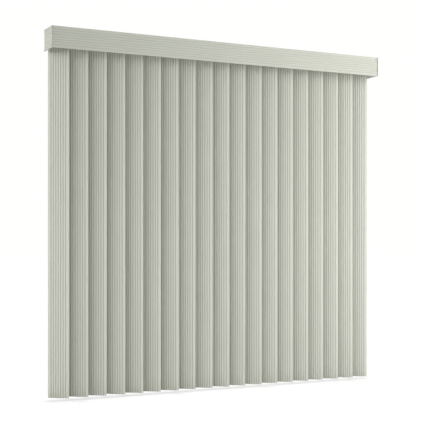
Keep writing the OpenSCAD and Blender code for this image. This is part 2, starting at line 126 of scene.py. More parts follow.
class RibMap(Enum):
    """Where a ribbed finish finds the distance across its ribs."""

    STRIP = "strip"
    HEIGHT = "height"


class Board:
    """Node board, with short ways to place nodes and join them."""

    def __init__(self, tree: bpy.types.NodeTree) -> None:
        """Takes the node tree to work on."""
        self.tree = tree

    def add(self, kind: str, settings: dict[str, Any] | None = None, **inputs: Any) -> bpy.types.Node:
        """Places a node.

        Args:
            kind: Type name of the node.
            settings: Properties of the node itself.
            **inputs: Values or sockets for its inputs, by name.

        Returns:
            The node.
        """
        node = self.tree.nodes.new(kind)
        for key, value in (settings or {}).items():
            setattr(node, key, value)
        for key, value in inputs.items():
            self.feed(node, key, value)
        return node

    def feed(self, node: bpy.types.Node, key: str | int, value: Any) -> None:
        """Sets one input, or joins a socket to it.

        Args:
            node: Node that takes the value.
            key: Name or place of the input.
            value: A plain value, or the socket that feeds it.
        """
        socket = node.inputs[key]
        if isinstance(value, bpy.types.NodeSocket):
            self.tree.links.new(value, socket)
        else:
            socket.default_value = value

    def calc(self, operation: str, *terms: Any) -> bpy.types.NodeSocket:
        """Works out one sum.

        Args:
            operation: Name of the math operation.
            *terms: Numbers or sockets.

        Returns:
            The socket with the result.
        """
        node = self.add("ShaderNodeMath", {"operation": operation})
        for place, term in enumerate(terms):
            self.feed(node, place, term)
        return node.outputs[0]

    def span(self, value: Any, start: Span, end: Span) -> bpy.types.NodeSocket:
        """Maps one range smoothly onto another.

        Args:
            value: Socket to map.
            start: Range that it comes from.
            end: Range that it goes to.

        Returns:
            The mapped socket.
        """
        node = self.add("ShaderNodeMapRange", {"interpolation_type": "SMOOTHSTEP"}, Value=value)
        for key, number in zip(("From Min", "From Max", "To Min", "To Max"), (*start, *end)):
            node.inputs[key].default_value = number
        return node.outputs["Result"]

    def stretched(self, vector: Any, scale: Point) -> bpy.types.NodeSocket:
        """Stretches coordinates.

        Args:
            vector: Socket with the coordinates.
            scale: Factor on each axis.

        Returns:
            The stretched coordinates.
        """
        return self.add("ShaderNodeMapping", Vector=vector, Scale=scale).outputs["Vector"]

    def noise(self, vector: Any, scale: float, detail: float = 2.0) -> bpy.types.NodeSocket:
        """Adds a soft noise.

        Args:
            vector: Socket with the coordinates.
            scale: Waves in a metre.
            detail: Layers of finer waves.

        Returns:
            The noise, about 0 to 1.
        """
        node = self.add("ShaderNodeTexNoise", Vector=vector, Scale=scale, Detail=detail)
        return node.outputs["Fac"]

    def drawn(self, vector: Any, run: Run, streaks: Span, detail: float = 2.0) -> bpy.types.NodeSocket:
        """Adds a noise that is drawn out along the way a piece was made.

        Args:
            vector: Socket with the coordinates.
            run: Axis that the piece was made along.
            streaks: Waves in a metre across the run and along it.
            detail: Layers of finer waves.

        Returns:
            The noise, about 0 to 1.
        """
        across, along = streaks
        scale = tuple(along if axis else across for axis in run.value)
        return self.noise(self.stretched(vector, scale), 1.0, detail)

    def tint(self, first: Any, second: Any, share: Any) -> bpy.types.NodeSocket:
        """Mixes two colours.

        Args:
            first: Colour at share 0.
            second: Colour at share 1.
            share: Socket or number.

        Returns:
            The mixed colour.
        """
        node = self.add("ShaderNodeMix", {"data_type": "RGBA"})
        for place, value in ((0, share), (6, first), (7, second)):
            self.feed(node, place, value)
        return node.outputs[2]

    def mottled(self, colour: Colour, shade: float, pattern: Any, reach: Span) -> bpy.types.NodeSocket:
        """Darkens a colour where a pattern is high.

        Args:
            colour: The colour.
            shade: Factor on it where the pattern is highest.
            pattern: Socket with the pattern.
            reach: Range of the pattern over which the colour changes.

        Returns:
            The mottled colour.
        """
        return self.tint(rgba(colour), rgba(colour, shade), self.span(pattern, reach, WHOLE))

    def bump(self, height: Any, strength: float, depth: float, under: Any = None) -> bpy.types.NodeSocket:
        """Turns a height into a shading normal.

        Args:
            height: Socket with the height, 0 to 1.
            strength: Share of the bump that shows.
            depth: Height in metres that 1 stands for.
            under: Normal of a coarser bump below this one.

        Returns:
            The normal.
        """
        node = self.add("ShaderNodeBump", Height=height, Strength=strength, Distance=depth)
        if under is not None:
            self.feed(node, "Normal", under)
        return node.outputs["Normal"]

    def object_place(self) -> bpy.types.NodeSocket:
        """Returns the coordinates of the piece's own frame."""
        return self.add("ShaderNodeTexCoord").outputs["Object"]


class FinishBoard(Board):
    """Node board of one material, with its shader in place."""

    def __init__(self, name: str) -> None:
        """Starts a material with a lone shader.

        Args:
            name: Name of the material.
        """
        self.material = bpy.data.materials.new(name)
        self.material.use_nodes = True
        super().__init__(self.material.node_tree)
        self.tree.nodes.clear()
        self.shader = self.add("ShaderNodeBsdfPrincipled")
        out = self.add("ShaderNodeOutputMaterial")
        self.tree.links.new(self.shader.outputs["BSDF"], out.inputs["Surface"])

    def finish(self, inputs: dict[str, Any]) -> bpy.types.Material:
        """Feeds the shader.

        Args:
            inputs: Values or sockets, by the names of the shader's inputs.

        Returns:
            The finished material.
        """
        for key, value in inputs.items():
            self.feed(self.shader, key, value)
        return self.material


def rgba(colour: Colour, shade: float = 1.0) -> tuple[float, float, float, float]:
    """Returns a linear colour with full alpha, darkened or lightened by a shade."""
    return (colour[0] * shade, colour[1] * shade, colour[2] * shade, 1.0)


@dataclass(frozen=True)
class VinylFinish:
    """Satin extruded vinyl in a warm grey green, plain or ribbed with painted shade in the grooves."""

    name: str
    colour: Colour
    run: Run = Run.Z
    ribs: RibMap | None = None
    rib_height: float = 0.0
    # Colour factor on the groove floors: painted shade where the grooves fall in shadow
    painted_groove_shade: float = 0.66
    floor_share: float = 0.46
    mouth_share: float = 0.52
    streaks: Span = (900.0, 7.0)
    streak_reach: Span = (0.35, 0.7)
    streak_shade: float = 0.965
    streak_strength: float = 0.3
    streak_depth: float = 0.05 * MM
    cloud_scale: float = 5.5
    cloud_reach: Span = (0.38, 0.66)
    cloud_share: float = 0.75
    cloud_shade: float = 0.97
    grain_scale: float = 2600.0
    grain_strength: float = 0.35
    grain_depth: float = 0.04 * MM
    roughness: Span = (0.42, 0.56)
    gloss: float = 0.42
    ior: float = 1.53

    def make(self) -> bpy.types.Material:
        """Builds the material.

        Returns:
            The material.
        """
        board = FinishBoard(self.name)
        place = self._place(board)
        lines = board.drawn(place, self.run, self.streaks, detail=3.0)
        clouds = board.noise(board.object_place(), self.cloud_scale, detail=3.0)
        grain = board.noise(board.object_place(), self.grain_scale)
        tone = board.mottled(self.colour, self.streak_shade, lines, self.streak_reach)
        cloud = board.span(clouds, self.cloud_reach, (0.0, self.cloud_share))
        tone = board.tint(tone, rgba(self.colour, self.cloud_shade), cloud)
        if self.ribs is not None:
            # Painted shade on the groove floors
            tone = board.tint(tone, rgba(self.colour, self.painted_groove_shade), self._painted_groove_mask(board, place))
        fine = board.bump(grain, self.grain_strength, self.grain_depth)
        return board.finish(
            {
                "Base Color": tone,
                "Roughness": board.span(grain, MIDDLE, self.roughness),
                "Specular IOR Level": self.gloss,
                "IOR": self.ior,
                "Normal": board.bump(lines, self.streak_strength, self.streak_depth, fine),
            }
        )

    def _place(self, board: Board) -> bpy.types.NodeSocket:
        """Finds the coordinates that the ribs and drawing lines follow.

        Args:
            board: Node board to work on.

        Returns:
            The coordinates, in metres.
        """
        if self.ribs is RibMap.STRIP:
            strip = board.add("ShaderNodeUVMap", {"uv_map": STRIP_MAP}).outputs["UV"]
            parts = board.add("ShaderNodeSeparateXYZ", Vector=strip)
            turned = board.add("ShaderNodeCombineXYZ", X=parts.outputs["X"], Z=parts.outputs["Y"])
            return turned.outputs["Vector"]
        return board.object_place()

    def _painted_groove_mask(self, board: Board, place: bpy.types.NodeSocket) -> bpy.types.NodeSocket:
        """Finds the floors of the grooves, which get painted shade.

        Args:
            board: Node board to work on.
            place: Coordinates from _place.

        Returns:
            A socket that is 1 on a groove's floor and 0 on the lands.
        """
        parts = board.add("ShaderNodeSeparateXYZ", Vector=place)
        if self.ribs is RibMap.STRIP:
            across = parts.outputs["X"]
        else:
            across = board.calc("SUBTRACT", parts.outputs["Z"], self.rib_height)
        count = board.calc("ROUND", board.calc("DIVIDE", across, GROOVE_PITCH))
        last = (GROOVE_COUNT - 1) / 2
        held = board.calc("MINIMUM", board.calc("MAXIMUM", count, -last), last)
        offset = board.calc("SUBTRACT", across, board.calc("MULTIPLY", held, GROOVE_PITCH))
        edge = (GROOVE_FLOOR * self.floor_share, GROOVE_MOUTH * self.mouth_share)
        return board.span(board.calc("ABSOLUTE", offset), edge, (1.0, 0.0))


@dataclass(frozen=True)
class EnamelFinish:
    """Stove enamel on an aluminium extrusion."""

    name: str
    colour: Colour
    run: Run = Run.X
    streaks: Span = (1100.0, 4.0)
    streak_strength: float = 0.35
    streak_depth: float = 0.05 * MM
    peel_scale: float = 900.0
    peel_strength: float = 0.25
    peel_depth: float = 0.06 * MM
    dust_scale: float = 14.0
    dust_reach: Span = (0.45, 0.72)
    dust_shade: float = 0.93
    roughness: Span = (0.26, 0.4)
    coat: float = 0.25
    coat_roughness: float = 0.18

    def make(self) -> bpy.types.Material:
        """Builds the material.

        Returns:
            The material.
        """
        board = FinishBoard(self.name)
        place = board.object_place()
        lines = board.drawn(place, self.run, self.streaks)
        peel = board.noise(place, self.peel_scale, detail=1.0)
        dust = board.noise(place, self.dust_scale, detail=4.0)
        coarse = board.bump(lines, self.streak_strength, self.streak_depth)
        return board.finish(
            {
                "Base Color": board.mottled(self.colour, self.dust_shade, dust, self.dust_reach),
                "Roughness": board.span(dust, MIDDLE, self.roughness),
                "Coat Weight": self.coat,
                "Coat Roughness": self.coat_roughness,
                "Normal": board.bump(peel, self.peel_strength, self.peel_depth, coarse),
            }
        )


@dataclass(frozen=True)
class MouldedFinish:
    """Injection moulded plastic with a spark-eroded grain and soft flow marks."""

    name: str
    colour: Colour
    grain_scale: float = 1900.0
    roughness: Span = (0.38, 0.52)
    grain_strength: float = 0.4
    grain_depth: float = 0.05 * MM
    flow_scale: float = 60.0
    flow_reach: Span = (0.4, 0.72)
    flow_shade: float = 0.92
    inner_light: float = 0.06
    inner_reach: float = 0.8 * MM

    def make(self) -> bpy.types.Material:
        """Builds the material.

        Returns:
            The material.
        """
        board = FinishBoard(self.name)
        place = board.object_place()
        grain = board.noise(place, self.grain_scale)
        flow = board.noise(place, self.flow_scale, detail=4.0)
        return board.finish(
            {
                "Base Color": board.mottled(self.colour, self.flow_shade, flow, self.flow_reach),
                "Roughness": board.span(grain, MIDDLE, self.roughness),
                "Subsurface Weight": self.inner_light,
                "Subsurface Scale": self.inner_reach,
                "Normal": board.bump(grain, self.grain_strength, self.grain_depth),
            }
        )


@dataclass(frozen=True)
class CarrierFinish:
    """White acetal blocks, with the spring steel of the spacer straps between them."""

    name: str
    colour: Colour
    strap_colour: Colour
    pitch: float
    block_half: float
    grain_scale: float = 1700.0
    grain_strength: float = 0.3
    grain_depth: float = 0.04 * MM
    flow_scale: float = 70.0
    flow_reach: Span = (0.4, 0.7)
    flow_shade: float = 0.9
    roughness: Span = (0.4, 0.52)
    strap_streaks: Span = (2400.0, 20.0)
    strap_shade: float = 0.75
    strap_polish: float = 0.16

    def make(self) -> bpy.types.Material:
        """Builds the material.

        Returns:
            The material.
        """
        board = FinishBoard(self.name)
        place = board.object_place()
        strap = self._strap(board, place)
        grain = board.noise(place, self.grain_scale)
        flow = board.noise(place, self.flow_scale, detail=3.0)
        lines = board.drawn(place, Run.X, self.strap_streaks)
        plastic = board.mottled(self.colour, self.flow_shade, flow, self.flow_reach)
        metal = board.tint(rgba(self.strap_colour), rgba(self.strap_colour, self.strap_shade), lines)
        rough = board.span(grain, MIDDLE, self.roughness)
        polish = board.calc("MULTIPLY", strap, self.strap_polish)
        return board.finish(
            {
                "Base Color": board.tint(plastic, metal, strap),
                "Metallic": strap,
                "Roughness": board.calc("SUBTRACT", rough, polish),
                "Normal": board.bump(grain, self.grain_strength, self.grain_depth),
            }
        )

    def _strap(self, board: Board, place: bpy.types.NodeSocket) -> bpy.types.NodeSocket:
        """Finds the straps between the blocks.

        Args:
            board: Node board to work on.
            place: Coordinates of the piece's own frame.

        Returns:
            A socket that is 1 on a strap and 0 on a block.
        """
        along = board.add("ShaderNodeSeparateXYZ", Vector=place).outputs["X"]
        count = board.calc("ROUND", board.calc("DIVIDE", along, self.pitch))
        offset = board.calc("SUBTRACT", along, board.calc("MULTIPLY", count, self.pitch))
        return board.calc("GREATER_THAN", board.calc("ABSOLUTE", offset), self.block_half)


@dataclass(frozen=True)
class MetalFinish:
    """Bare metal with drawing lines, and crystal spangle where it is zinc plated."""

    name: str
    colour: Colour
    run: Run = Run.X
    spangle: bool = False
    spangle_scale: float = 260.0
    mark_shade: float = 0.82
    mark_reach: Span = (0.2, 0.8)
    streaks: Span = (3200.0, 24.0)
    streak_strength: float = 0.3
    streak_depth: float = 0.03 * MM
    roughness: Span = (0.24, 0.42)

    def make(self) -> bpy.types.Material:
        """Builds the material.

        Returns:
            The material.
        """
        board = FinishBoard(self.name)
        place = board.object_place()
        lines = board.drawn(place, self.run, self.streaks)
        mark = lines
        if self.spangle:
            cells = board.add("ShaderNodeTexVoronoi", Vector=place, Scale=self.spangle_scale)
            mark = board.add("ShaderNodeSeparateXYZ", Vector=cells.outputs["Color"]).outputs["X"]
        return board.finish(
            {
                "Base Color": board.tint(rgba(self.colour), rgba(self.colour, self.mark_shade), mark),
                "Metallic": 1.0,
                "Roughness": board.span(mark, self.mark_reach, self.roughness),
                "Normal": board.bump(lines, self.streak_strength, self.streak_depth),
            }
        )


@dataclass(frozen=True)
class FloorFinish:
    """White floor with a weak glow of its own, lifted to plain white in the picture."""

    name: str
    colour: Colour
    glow: float
    white: float
    cloud_scale: float = 0.8
    cloud_shade: float = 0.99
    roughness: float = 0.9
    gloss: float = 0.1

    def make(self) -> bpy.types.Material:
        """Builds the material.

        Returns:
            The material.
        """
        board = FinishBoard(self.name)
        cloud = board.noise(board.object_place(), self.cloud_scale)
        seen = board.add("ShaderNodeLightPath").outputs["Is Camera Ray"]
        return board.finish(
            {
                "Base Color": board.tint(rgba(self.colour), rgba(self.colour, self.cloud_shade), cloud),
                "Roughness": self.roughness,
                "Specular IOR Level": self.gloss,
                "Emission Color": ROOM_WHITE,
                "Emission Strength": board.calc("MULTIPLY_ADD", seen, self.white, self.glow),
            }
        )


class Finishes:
    """The blind's finishes, each made once."""

    SAGE: Colour = (0.486, 0.499, 0.433)
    # The same vinyl as SAGE, painted lighter for the vanes to match how light falls on them and to offset
    # their painted groove shade
    LIT_SAGE: Colour = (0.533, 0.545, 0.474)
    IVORY: Colour = (0.80, 0.78, 0.70)
    WHITE: Colour = (0.78, 0.77, 0.71)
    COOL_WHITE: Colour = (0.74, 0.76, 0.76)
    SPRING_STEEL: Colour = (0.55, 0.56, 0.58)
    ALUMINIUM: Colour = (0.70, 0.71, 0.72)
    ZINC: Colour = (0.60, 0.61, 0.63)
    SCREW_ZINC: Colour = (0.58, 0.59, 0.61)

    def __init__(self, rib_height: float, pitch: float) -> None:
        """Makes the materials.

        Args:
            rib_height: Height of the middle of the valance's ribs.
            pitch: Distance from one carrier to the next.
        """
        ribs = {"ribs": RibMap.HEIGHT, "rib_height": rib_height}
        self.vane = VinylFinish("ribbed_vane_vinyl", self.LIT_SAGE, ribs=RibMap.STRIP).make()
        # The valance's grooves get painted shade too, lighter than the vanes'
        self.front = VinylFinish("ribbed_front_vinyl", self.SAGE, Run.X, painted_groove_shade=0.86, **ribs).make()
        self.side = VinylFinish("ribbed_return_vinyl", self.SAGE, Run.Y, painted_groove_shade=0.92, **ribs).make()
        self.channel = VinylFinish("plain_channel_vinyl", self.SAGE, Run.X).make()
        self.return_channel = VinylFinish("plain_return_vinyl", self.SAGE, Run.Y).make()
        self.corner = MouldedFinish(
            "corner_vinyl", self.SAGE, grain_scale=2400.0, roughness=(0.42, 0.56)
        ).make()
        self.enamel = EnamelFinish("ivory_rail_enamel", self.IVORY).make()
        self.cap = MouldedFinish("ivory_cap_plastic", self.IVORY).make()
        self.acetal = MouldedFinish(
            "white_acetal_plastic", self.WHITE, grain_scale=2300.0, roughness=(0.32, 0.46)
        ).make()
        self.clip = MouldedFinish(
            "clip_plastic", self.COOL_WHITE, grain_scale=2600.0, roughness=(0.22, 0.34)
        ).make()
        self.carrier = CarrierFinish(
            "carrier_acetal_and_strap", self.WHITE, self.SPRING_STEEL, pitch, CARRIER_HALF
        ).make()
        self.rod = MetalFinish("drawn_rod_aluminium", self.ALUMINIUM).make()
        self.zinc = MetalFinish("zinc_sheet_steel", self.ZINC, spangle=True).make()
        self.screw = MetalFinish("zinc_screw_steel", self.SCREW_ZINC, roughness=(0.2, 0.34)).make()


def clear_selection() -> None:
    """Leaves object mode with nothing selected."""
    if bpy.context.mode != "OBJECT":
        bpy.ops.object.mode_set(mode="OBJECT")
    bpy.ops.object.select_all(action="DESELECT")


def pick(piece: bpy.types.Object) -> None:
    """Selects one piece alone, in object mode, and makes it the active one.

    Args:
        piece: The piece.
    """
    clear_selection()
    piece.select_set(True)
    bpy.context.view_layer.objects.active = piece


def looks_up(middle: Vector, normal: Vector) -> bool:
    """Tells whether a face looks up."""
    return normal.z > FACING


def looks_down(middle: Vector, normal: Vector) -> bool:
    """Tells whether a face looks down."""
    return normal.z < -FACING


def stands(middle: Vector, normal: Vector) -> bool:
    """Tells whether a face stands upright."""
    return abs(normal.z) < 1 - FACING


class Bench:
    """One mesh on the modelling bench, shaped by edit-mode operators."""

    def __init__(self, name: str) -> None:
        """Takes the active object, which a primitive has just made.

        Args:
            name: Name of the piece.
        """
        self.piece = bpy.context.active_object
        self.piece.name = name
        self.piece.data.name = name
        bpy.ops.object.transform_apply(location=True, rotation=True, scale=True)

    @classmethod
    def block(cls, name: str, low: Point, high: Point) -> Bench:
        """Starts from a block.

        Args:
            name: Name of the piece.
            low: Lowest corner.
            high: Highest corner.

        Returns:
            The bench with the block on it.
        """
        clear_selection()
        first, last = Vector(low), Vector(high)
        bpy.ops.mesh.primitive_cube_add(size=1.0, location=(first + last) / 2)
        bpy.context.active_object.scale = last - first
        return cls(name)

    @classmethod
    def drum(cls, name: str, radius: float, low: float, high: float, sides: int = 24) -> Bench:
        """Starts from a drum that stands on the Z axis.

        Args:
            name: Name of the piece.
            radius: Radius of the drum.
            low: Height of its foot.
            high: Height of its top.
            sides: Number of its sides.

        Returns:
            The bench with the drum on it.
        """
        clear_selection()
        bpy.ops.mesh.primitive_cylinder_add(
            vertices=sides, radius=radius, depth=high - low, location=(0.0, 0.0, (low + high) / 2)
        )
        return cls(name)

    @classmethod
    def sheet(cls, name: str, left: float, right: float, low: float, high: float) -> Bench:
        """Starts from an upright sheet that faces -Y.

        Args:
            name: Name of the piece.
            left: Lowest X.
            right: Highest X.
            low: Lowest Z.
            high: Highest Z.

        Returns:
            The bench with the sheet on it.
        """
        clear_selection()
        bpy.ops.mesh.primitive_plane_add(
            size=1.0, location=((left + right) / 2, 0.0, (low + high) / 2), rotation=(math.pi / 2, 0.0, 0.0)
        )
        bpy.context.active_object.scale = (right - left, high - low, 1.0)
        return cls(name)

    def _edit(self, kind: str) -> bmesh.types.BMesh:
        """Goes into edit mode on this piece with nothing selected.

        Args:
            kind: Selection mode, VERT, EDGE or FACE.

        Returns:
            The edit mesh.
        """
        pick(self.piece)
        bpy.ops.object.mode_set(mode="EDIT")
        bpy.ops.mesh.select_mode(type=kind)
        bpy.ops.mesh.select_all(action="DESELECT")
        return bmesh.from_edit_mesh(self.piece.data)

    def faces(self, test: FaceTest) -> Bench:
        """Selects faces.

        Args:
            test: Tells from a face's middle and normal whether it is wanted.

        Returns:
            This bench, in edit mode.
        """
        mesh = self._edit("FACE")
        for face in mesh.faces:
            face.select_set(test(face.calc_center_median(), face.normal))
        bmesh.update_edit_mesh(self.piece.data)
        return self

    def edges(self, test: EdgeTest) -> Bench:
        """Selects edges.

        Args:
            test: Tells from an edge's two ends whether it is wanted.

        Returns:
            This bench, in edit mode.
        """
        mesh = self._edit("EDGE")
        for edge in mesh.edges:
            edge.select_set(test(edge.verts[0].co, edge.verts[1].co))
        bmesh.update_edit_mesh(self.piece.data)
        return self

    def extrude(self, offset: Point) -> Bench:
        """Extrudes what is selected by an offset, and returns this bench."""
        bpy.ops.mesh.extrude_region_move(TRANSFORM_OT_translate={"value": offset})
        return self

    def move(self, offset: Point) -> Bench:
        """Moves what is selected by an offset, and returns this bench."""
        bpy.ops.transform.translate(value=offset)
        return self

    def resize(self, factor: Point, centre: Point) -> Bench:
        """Resizes what is selected about a centre, and returns this bench."""
        bpy.ops.transform.resize(value=factor, center_override=centre)
        return self

    def round_off(self, width: float, segments: int) -> Bench:
        """Bevels what is selected, and returns this bench."""
        bpy.ops.mesh.bevel(offset=width, segments=segments)
        return self

    def subdivide(self, cuts: int) -> Bench:
        """Subdivides what is selected, and returns this bench."""
        bpy.ops.mesh.subdivide(number_cuts=cuts)
        return self

    def slice(self, point: Point, normal: Point) -> Bench:
        """Cuts a line round the whole piece.

        Args:
            point: A point of the cutting plane.
            normal: The plane's normal.

        Returns:
            This bench.
        """
        self._edit("FACE")
        bpy.ops.mesh.select_all(action="SELECT")
        bpy.ops.mesh.bisect(plane_co=point, plane_no=normal)
        return self

    def modify(self, kind: str, **settings: Any) -> Bench:
        """Adds a modifier and applies it.

        Args:
            kind: Type of the modifier.
            **settings: Its properties.

        Returns:
            This bench, in object mode.
        """
        pick(self.piece)
        modifier = self.piece.modifiers.new(kind.lower(), kind)
        for key, value in settings.items():
            setattr(modifier, key, value)
        bpy.ops.object.modifier_apply(modifier=modifier.name)
        return self

    def round_edges(self, width: float, degrees: float) -> Bench:
        """Rounds all edges sharper than an angle, and returns this bench."""
        shape = {"width": width, "segments": EDGE_STEPS, "angle_limit": math.radians(degrees)}
        return self.modify("BEVEL", limit_method="ANGLE", **shape)

    def combine(self, tool: Bench, operation: str) -> Bench:
        """Joins or cuts with another bench's piece, which is used up.

        Args:
            tool: The other bench.
            operation: UNION or DIFFERENCE.

        Returns:
            This bench, in object mode.
        """
        self.modify("BOOLEAN", object=tool.piece, operation=operation, solver="EXACT")
        bpy.data.objects.remove(tool.piece)
        return self.merge_slivers()

    def merge_slivers(self) -> Bench:
        """Merges the slivers that a cut, a union or a bevel leaves.

        Returns:
            This bench, in object mode.
        """
        self._sort()
        bpy.ops.mesh.remove_doubles(threshold=SLIVER)
        bpy.ops.mesh.dissolve_degenerate(threshold=SLIVER)
        self._sort()
        clear_selection()
        return self

    def _sort(self) -> None:
        """Selects the whole mesh and puts it in one fixed order, so that each run gives the same mesh."""
        self._edit("VERT")
        bpy.ops.mesh.select_all(action="SELECT")
        bpy.context.scene.cursor.location = ORDER_POINT
        bpy.ops.mesh.sort_elements(type="CURSOR_DISTANCE", elements={"VERT", "EDGE", "FACE"})

    def smooth(self, degrees: float = SMOOTH_ANGLE) -> Bench:
        """Shades smooth all edges flatter than an angle.

        Args:
            degrees: The angle.

        Returns:
            This bench, in object mode.
        """
        pick(self.piece)
        bpy.ops.object.shade_smooth_by_angle(angle=math.radians(degrees))
        return self

    def copy(self, name: str, place: Matrix) -> bpy.types.Object:
        """Copies the finished piece to a place, which goes into the copy's own mesh.

        Args:
            name: Name of the copy.
            place: Matrix from the bench to the part's frame.

        Returns:
            The copy.
        """
        twin = self.piece.copy()
        twin.data = self.piece.data.copy()
        twin.name = twin.data.name = name
        twin.data.transform(place)
        bpy.context.scene.collection.objects.link(twin)
        return twin

    def clear(self) -> None:
        """Takes the piece off the bench."""
        clear_selection()
        bpy.data.objects.remove(self.piece)


def dress(piece: bpy.types.Object, material: bpy.types.Material) -> None:
    """Gives a piece one material in place of any it has."""
    piece.data.materials.clear()
    piece.data.materials.append(material)


def soften(node: bpy.types.Object, width: float) -> None:
    """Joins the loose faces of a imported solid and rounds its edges, with live modifiers.

    Args:
        node: Object of the solid.
        width: Width of the rounding, or 0 for none.
    """
    weld = node.modifiers.new("weld", "WELD")
    weld.merge_threshold = WELD_DISTANCE
    if not width:
        return
    bevel = node.modifiers.new("edge", "BEVEL")
    bevel.width = width
    bevel.segments = EDGE_STEPS
    bevel.limit_method = "ANGLE"
    bevel.angle_limit = math.radians(SMOOTH_ANGLE)
    bevel.harden_normals = True


@dataclass(frozen=True)
class Softbox:
    """A soft oblong light."""

    name: str
    place: Point
    aim: Point
    face: Span
    power: float

    def hang(self) -> None:
        """Hangs the light, facing its aim."""
        data = bpy.data.lights.new(self.name, "AREA")
        data.shape = "RECTANGLE"
        data.size, data.size_y = self.face
        data.energy = self.power
        light = bpy.data.objects.new(self.name, data)
        light.location = self.place
        light.rotation_euler = (Vector(self.aim) - Vector(self.place)).to_track_quat("-Z", "Y").to_euler()
        bpy.context.scene.collection.objects.link(light)


@dataclass(frozen=True)
class RoomLight:
    """Light from the walls and the ceiling of a white room."""

    front: float = 0.25
    left: float = 4.55
    ceiling: float = 0.5
    wall_top: float = 0.5

    def strength(self, board: Board) -> bpy.types.NodeSocket:
        """Works out the light that comes from each direction.

        Args:
            board: Node board of the world.

        Returns:
            The strength of the light.
        """
        place = board.add("ShaderNodeTexCoord").outputs["Generated"]
        parts = board.add("ShaderNodeSeparateXYZ", Vector=place).outputs
        wall = board.span(parts["Z"], (0.0, self.wall_top), (1.0, 0.0))
        light = board.calc("MULTIPLY", board.calc("SUBTRACT", 1.0, wall), self.ceiling)
        for axis, power in (("Y", -self.front), ("X", -self.left)):
            side = board.calc("MAXIMUM", board.calc("MULTIPLY", parts[axis], power), 0.0)
            light = board.calc("MULTIPLY_ADD", side, wall, light)
        return light


@dataclass
class Studio:
    """Camera, white room and soft lights."""

    lens: float = 85.0
    sensor: float = 36.0
    sight: float = 100.0
    camera_place: Point = (-1.983, -3.890, -0.8529)
    camera_turn: float = -26.576
    shift_y: float = 0.0689
    floor_height: float = -1.501
    floor_reach: float = 30.0
    floor_depth: float = 0.1
    floor_colour: Colour = (0.3, 0.3, 0.3)
    floor_glow: float = 0.044
    floor_white: float = 0.49
    overhead_power: float = 3.2
    overhead_spread: float = 2.4
    room: RoomLight = RoomLight()
    lights: tuple[Softbox, ...] = (
        Softbox("softbox_right", (1.35, -1.0, -0.3), (0.6, 0.0, -0.5), (0.7, 2.2), 12.0),
        Softbox("softbox_front", (0.7, -1.8, -0.3), (0.3, 0.0, -0.6), (0.9, 2.2), 8.7),
        Softbox("softbox_low", (0.4, -1.7, -1.1), (0.2, 0.0, -1.1), (1.6, 0.7), 6.9),
        Softbox("softbox_low_left", (-1.6, -1.3, -1.1), (-0.3, 0.0, -1.2), (1.0, 0.7), 4.2),
    )

    def build(self) -> None:
        """Sets up the camera, the world, the floor and the lights."""
        bpy.context.scene.view_settings.view_transform = "Standard"
        self._camera()
        self._world()
        self._floor()
        for light in self.lights:
            light.hang()

    def _camera(self) -> None:
        """Places the camera at the photograph's view."""
        data = bpy.data.cameras.new("camera")
        data.lens = self.lens
        data.sensor_width = self.sensor
        data.shift_y = self.shift_y
        data.clip_end = self.sight
        camera = bpy.data.objects.new("camera", data)
        camera.location = self.camera_place
        camera.rotation_euler = (math.pi / 2, 0.0, math.radians(self.camera_turn))
        bpy.context.scene.collection.objects.link(camera)
        bpy.context.scene.camera = camera

    def _world(self) -> None:
        """Makes the white room, which looks plain white from the camera."""
        world = bpy.data.worlds.new("white_room")
        bpy.context.scene.world = world
        world.use_nodes = True
        board = Board(world.node_tree)
        seen = board.add("ShaderNodeLightPath").outputs["Is Camera Ray"]
        back = world.node_tree.nodes["Background"]
        back.inputs["Color"].default_value = ROOM_WHITE
        board.feed(back, "Strength", board.calc("MAXIMUM", self.room.strength(board), seen))

    def _floor(self) -> None:
        """Lays the floor just below the vanes."""
        bench = Bench.block(
            "studio_floor",
            (-self.floor_reach, -self.floor_reach, self.floor_height - self.floor_depth),
            (self.floor_reach, self.floor_reach, self.floor_height),
        )
        finish = FloorFinish("white_sweep", self.floor_colour, self.floor_glow, self.floor_white)
        dress(bench.piece, finish.make())
        self._overhead(bench.piece)

    def _overhead(self, floor: bpy.types.Object) -> None:
        """Hangs a far light straight overhead, which lays the blind's thin shadow on the floor.

        Args:
            floor: The floor, which is all that the light falls on.
        """
        data = bpy.data.lights.new("overhead", "SUN")
        data.energy = self.overhead_power
        data.angle = math.radians(self.overhead_spread)
        light = bpy.data.objects.new("overhead", data)
        bpy.context.scene.collection.objects.link(light)
        lit = bpy.data.collections.new("overhead_lit")
        lit.objects.link(floor)
        light.light_linking.receiver_collection = lit


